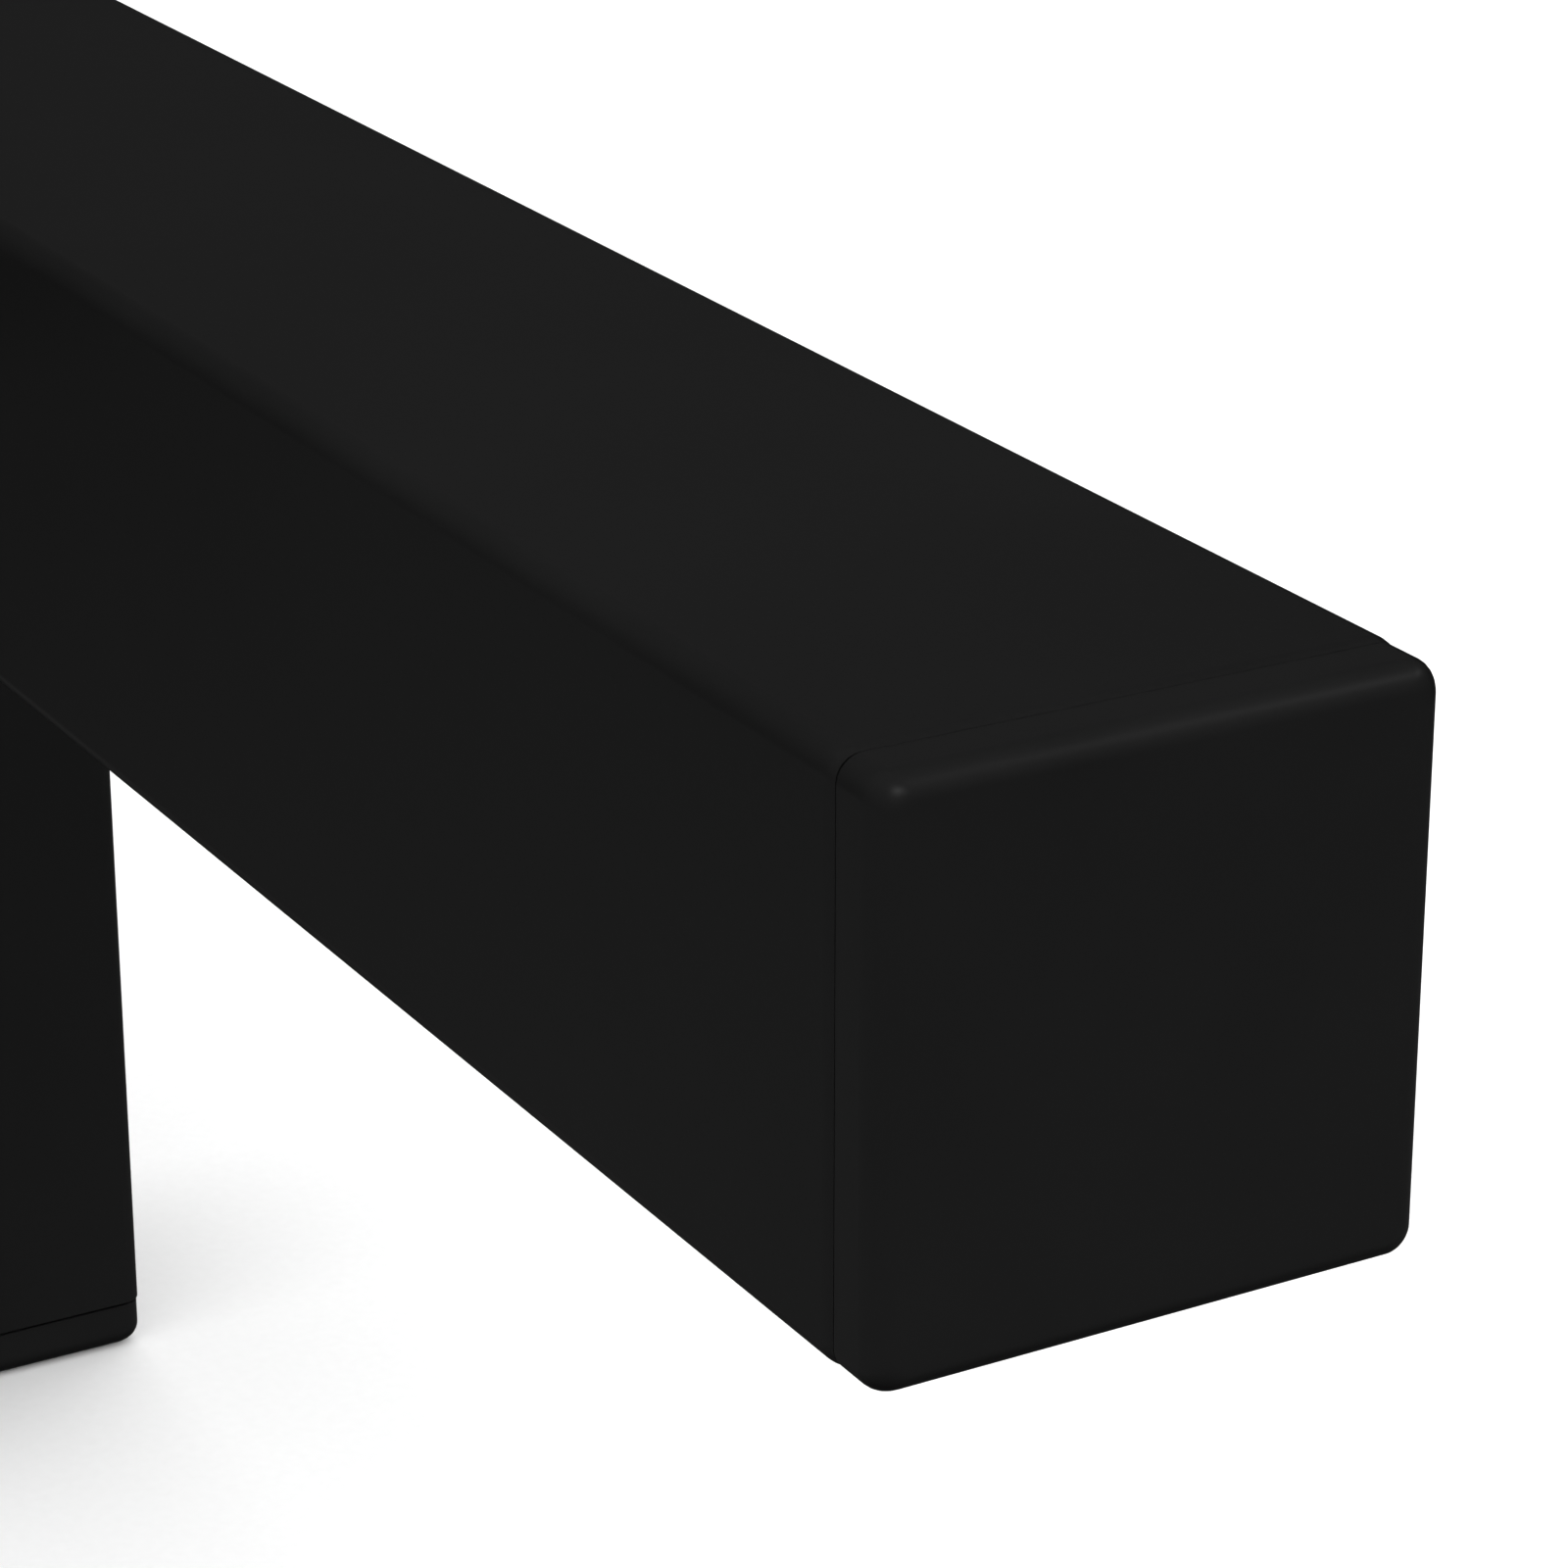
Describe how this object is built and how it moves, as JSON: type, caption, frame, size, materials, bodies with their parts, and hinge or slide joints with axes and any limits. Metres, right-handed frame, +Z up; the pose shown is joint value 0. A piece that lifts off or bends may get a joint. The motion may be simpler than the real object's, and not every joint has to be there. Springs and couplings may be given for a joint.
{
  "type": "low equipment support frame",
  "caption": "Low black support frame of welded square steel tube: long rails on short legs, joined by cross rails, with plastic caps in the open tube ends.",
  "frame": {"origin": "on the floor, below the middle of the frame", "axes": "+X along the rails, from the front end to the rear end; +Y to the left; +Z up"},
  "size_m": [1, 0.5, 0.145],
  "materials": {
    "powder_coated_steel": "black powder coat, fine texture, low sheen",
    "powder_coated_weld": "black powder coat over a rippled fillet weld",
    "cap_plastic": "black moulded polyethylene, faintly grained, low sheen"
  },
  "bodies": {
    "root": {"rail_left": "powder_coated_steel", "rail_right": "powder_coated_steel", "cross_rail_front": "powder_coated_steel", "cross_rail_rear": "powder_coated_steel", "leg_front_left": "powder_coated_steel", "leg_front_right": "powder_coated_steel", "leg_rear_left": "powder_coated_steel", "leg_rear_right": "powder_coated_steel", "rail_cap_front_left": "cap_plastic", "rail_cap_front_right": "cap_plastic", "rail_cap_rear_left": "cap_plastic", "rail_cap_rear_right": "cap_plastic", "foot_cap_front_left": "cap_plastic", "foot_cap_front_right": "cap_plastic", "foot_cap_rear_left": "cap_plastic", "foot_cap_rear_right": "cap_plastic", "weld_leg_outer_front_left": "powder_coated_weld", "weld_leg_outer_front_right": "powder_coated_weld", "weld_leg_outer_rear_left": "powder_coated_weld", "weld_leg_outer_rear_right": "powder_coated_weld", "weld_leg_inner_front_left": "powder_coated_weld", "weld_leg_inner_front_right": "powder_coated_weld", "weld_leg_inner_rear_left": "powder_coated_weld", "weld_leg_inner_rear_right": "powder_coated_weld", "weld_cross_outer_front_left": "powder_coated_weld", "weld_cross_outer_front_right": "powder_coated_weld", "weld_cross_outer_rear_left": "powder_coated_weld", "weld_cross_outer_rear_right": "powder_coated_weld", "weld_cross_inner_front_left": "powder_coated_weld", "weld_cross_inner_front_right": "powder_coated_weld", "weld_cross_inner_rear_left": "powder_coated_weld", "weld_cross_inner_rear_right": "powder_coated_weld", "weld_underside_front_left": "powder_coated_weld", "weld_underside_front_right": "powder_coated_weld", "weld_underside_rear_left": "powder_coated_weld", "weld_underside_rear_right": "powder_coated_weld"}
  },
  "joints": []
}
